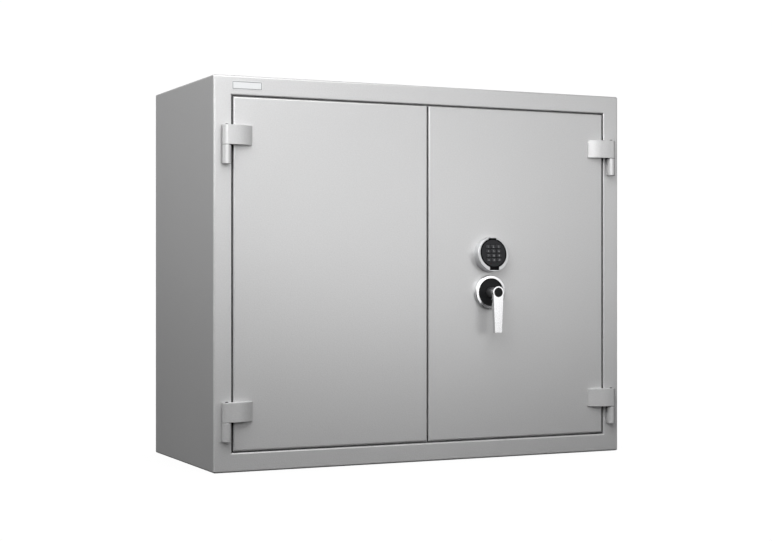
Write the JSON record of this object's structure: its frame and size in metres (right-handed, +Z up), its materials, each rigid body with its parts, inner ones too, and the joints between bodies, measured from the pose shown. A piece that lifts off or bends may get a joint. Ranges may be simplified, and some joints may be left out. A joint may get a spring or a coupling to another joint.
{
  "type": "two-door steel safe",
  "caption": "Low steel safe with a pair of front doors on outside hinges, an electronic keypad, a turning bolt handle, moving boltwork and adjustable shelves.",
  "frame": {"origin": "centre of the base footprint, on the underside of the casing", "axes": "+Z up, +X to the right as seen from the front, front face at Y = -0.25, back at Y = +0.25"},
  "size_m": [1.2, 0.5526, 1],
  "materials": {
    "body_paint": "satin powder coat, fine texture",
    "interior_paint": "satin powder coat",
    "zinc_steel": "satin, zinc plated",
    "pin_steel": "satin, black oxide",
    "satin_chrome": "satin chrome",
    "black_plastic": "matte",
    "keypad_plastic": "satin",
    "key_plastic": "satin",
    "silver_plastic": "satin silver",
    "badge": "satin",
    "seal_rubber": "matte",
    "mineral_fill": "matte",
    "board_green": "satin",
    "cell_casing": "gloss"
  },
  "bodies": {
    "cabinet": {"outer_casing": "body_paint", "rear_panel": "body_paint", "door_frame": "body_paint", "inner_liner": "interior_paint", "wall_insulation": "mineral_fill", "anchor_sleeves": "zinc_steel", "lower_shelf": "interior_paint", "upper_shelf": "interior_paint", "shelf_rails": "interior_paint", "shelf_clips": "zinc_steel", "frame_seal": "seal_rubber", "frame_hinge_knuckles": "body_paint", "hinge_pins": "pin_steel", "badge_plate": "badge"},
    "left_door": {"left_door_plate": "body_paint", "left_door_shell": "body_paint", "left_door_core": "mineral_fill", "left_door_cover": "interior_paint", "left_hinge_leaves": "body_paint", "left_dog_bolts": "zinc_steel", "left_rod_guides": "zinc_steel"},
    "left_lever": {"left_lever_crank": "zinc_steel", "left_inner_lever": "zinc_steel"},
    "left_upper_bolt": {"left_upper_rod": "zinc_steel"},
    "left_lower_bolt": {"left_lower_rod": "zinc_steel"},
    "right_door": {"right_door_plate": "body_paint", "right_door_shell": "body_paint", "right_door_core": "mineral_fill", "right_door_cover": "interior_paint", "right_hinge_leaves": "body_paint", "right_dog_bolts": "zinc_steel", "right_rod_guides": "zinc_steel", "lock_case": "zinc_steel", "handle_rosette": "satin_chrome", "rosette_plate": "black_plastic", "keypad_housing": "silver_plastic", "battery_cells": "cell_casing"},
    "handle": {"handle_lever": "satin_chrome", "handle_cap": "black_plastic", "handle_spindle": "zinc_steel", "handle_crank": "zinc_steel"},
    "bolt_carriage": {"bolt_bar": "zinc_steel", "side_bolts": "zinc_steel"},
    "right_upper_bolt": {"right_upper_rod": "zinc_steel"},
    "right_lower_bolt": {"right_lower_rod": "zinc_steel"},
    "lock_bolt_slide": {"lock_bolt": "zinc_steel"},
    "keypad_flap": {"keypad_face": "keypad_plastic", "circuit_board": "board_green"},
    "key_1_button": {"key_1": "key_plastic"},
    "key_2_button": {"key_2": "key_plastic"},
    "key_3_button": {"key_3": "key_plastic"},
    "key_4_button": {"key_4": "key_plastic"},
    "key_5_button": {"key_5": "key_plastic"},
    "key_6_button": {"key_6": "key_plastic"},
    "key_7_button": {"key_7": "key_plastic"},
    "key_8_button": {"key_8": "key_plastic"},
    "key_9_button": {"key_9": "key_plastic"},
    "key_c_button": {"key_c": "key_plastic"},
    "key_0_button": {"key_0": "key_plastic"},
    "key_e_button": {"key_e": "key_plastic"}
  },
  "joints": [
    {"name": "left_door_hinge", "type": "hinge", "parent": "cabinet", "child": "left_door", "pos_m": [-0.5695, -0.262, 0.5], "axis": [0, 0, -1], "range_deg": [0, 180]},
    {"name": "right_door_hinge", "type": "hinge", "parent": "cabinet", "child": "right_door", "pos_m": [0.5695, -0.262, 0.5], "axis": [0, 0, 1], "range_deg": [0, 180]},
    {"name": "handle_turn", "type": "hinge", "parent": "right_door", "child": "handle", "pos_m": [0.1855, -0.25, 0.45], "axis": [0, -1, 0], "range_deg": [0, 90]},
    {"name": "side_bolt_throw", "type": "slide", "parent": "right_door", "child": "bolt_carriage", "axis": [-1, 0, 0], "range_m": [0, 0.034]},
    {"name": "right_upper_throw", "type": "slide", "parent": "right_door", "child": "right_upper_bolt", "axis": [0, 0, 1], "range_m": [0, 0.034]},
    {"name": "right_lower_throw", "type": "slide", "parent": "right_door", "child": "right_lower_bolt", "axis": [0, 0, -1], "range_m": [0, 0.034]},
    {"name": "lock_bolt_throw", "type": "slide", "parent": "right_door", "child": "lock_bolt_slide", "axis": [0, 0, -1], "range_m": [0, 0.01]},
    {"name": "keypad_flap_lift", "type": "hinge", "parent": "right_door", "child": "keypad_flap", "pos_m": [0.1865, -0.26574, 0.59389], "axis": [-1, 0, 0], "range_deg": [0, 100]},
    {"name": "left_lever_turn", "type": "hinge", "parent": "left_door", "child": "left_lever", "pos_m": [-0.15, -0.25, 0.5], "axis": [0, -1, 0], "range_deg": [0, 90]},
    {"name": "left_upper_throw", "type": "slide", "parent": "left_door", "child": "left_upper_bolt", "axis": [0, 0, 1], "range_m": [0, 0.034]},
    {"name": "left_lower_throw", "type": "slide", "parent": "left_door", "child": "left_lower_bolt", "axis": [0, 0, -1], "range_m": [0, 0.034]},
    {"name": "key_1_press", "type": "slide", "parent": "keypad_flap", "child": "key_1_button", "axis": [0, 0.9903, -0.1392], "range_m": [0, 0.0008]},
    {"name": "key_2_press", "type": "slide", "parent": "keypad_flap", "child": "key_2_button", "axis": [0, 0.9903, -0.1392], "range_m": [0, 0.0008]},
    {"name": "key_3_press", "type": "slide", "parent": "keypad_flap", "child": "key_3_button", "axis": [0, 0.9903, -0.1392], "range_m": [0, 0.0008]},
    {"name": "key_4_press", "type": "slide", "parent": "keypad_flap", "child": "key_4_button", "axis": [0, 0.9903, -0.1392], "range_m": [0, 0.0008]},
    {"name": "key_5_press", "type": "slide", "parent": "keypad_flap", "child": "key_5_button", "axis": [0, 0.9903, -0.1392], "range_m": [0, 0.0008]},
    {"name": "key_6_press", "type": "slide", "parent": "keypad_flap", "child": "key_6_button", "axis": [0, 0.9903, -0.1392], "range_m": [0, 0.0008]},
    {"name": "key_7_press", "type": "slide", "parent": "keypad_flap", "child": "key_7_button", "axis": [0, 0.9903, -0.1392], "range_m": [0, 0.0008]},
    {"name": "key_8_press", "type": "slide", "parent": "keypad_flap", "child": "key_8_button", "axis": [0, 0.9903, -0.1392], "range_m": [0, 0.0008]},
    {"name": "key_9_press", "type": "slide", "parent": "keypad_flap", "child": "key_9_button", "axis": [0, 0.9903, -0.1392], "range_m": [0, 0.0008]},
    {"name": "key_c_press", "type": "slide", "parent": "keypad_flap", "child": "key_c_button", "axis": [0, 0.9903, -0.1392], "range_m": [0, 0.0008]},
    {"name": "key_0_press", "type": "slide", "parent": "keypad_flap", "child": "key_0_button", "axis": [0, 0.9903, -0.1392], "range_m": [0, 0.0008]},
    {"name": "key_e_press", "type": "slide", "parent": "keypad_flap", "child": "key_e_button", "axis": [0, 0.9903, -0.1392], "range_m": [0, 0.0008]}
  ],
  "couplings": [
    {"joint": "side_bolt_throw", "follows": "handle_turn", "m_per_rad": 0.021645},
    {"joint": "right_upper_throw", "follows": "handle_turn", "m_per_rad": 0.021645},
    {"joint": "right_lower_throw", "follows": "handle_turn", "m_per_rad": 0.021645},
    {"joint": "left_upper_throw", "follows": "left_lever_turn", "m_per_rad": 0.021645},
    {"joint": "left_lower_throw", "follows": "left_lever_turn", "m_per_rad": 0.021645}
  ]
}
